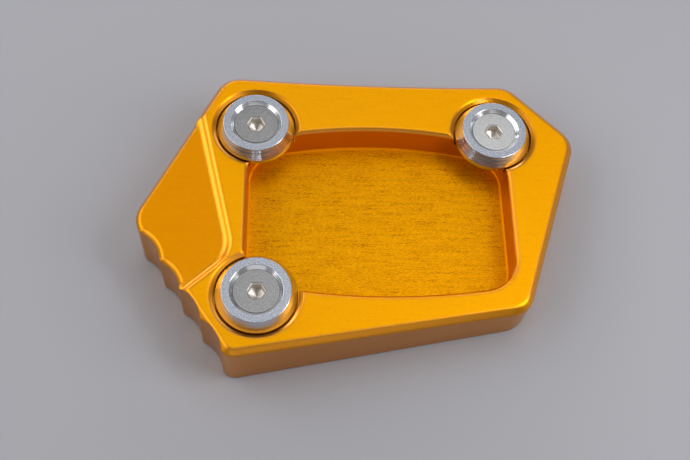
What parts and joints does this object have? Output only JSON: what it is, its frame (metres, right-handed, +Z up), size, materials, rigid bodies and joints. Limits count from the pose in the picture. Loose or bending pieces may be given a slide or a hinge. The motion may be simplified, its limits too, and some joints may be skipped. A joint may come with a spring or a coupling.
{
  "type": "kickstand foot enlarger",
  "caption": "Wedge-shaped milled plate with an arched pocket, clamped under a motorcycle side stand's foot by countersunk screws and washers so that the foot doesn't sink into soft ground.",
  "frame": {"origin": "on the ground under the middle of the bounding box", "axes": "+X along the pocket towards the plate's thin end, +Y towards the long hollow rear edge, +Z up from the sole"},
  "size_m": [0.1198, 0.0824, 0.021],
  "materials": {
    "gold_anodised_plate": "satin gold anodising over milled faces",
    "turned_washer": "turned, bead-blasted top face and polished rim",
    "stainless_screw": "plain stainless steel"
  },
  "bodies": {
    "root": {"base_plate": "gold_anodised_plate", "clamp_washer_rear_left": "turned_washer", "clamp_washer_rear_right": "turned_washer", "clamp_washer_front_left": "turned_washer", "clamp_screw_rear_left": "stainless_screw", "clamp_screw_rear_right": "stainless_screw", "clamp_screw_front_left": "stainless_screw"}
  },
  "joints": []
}
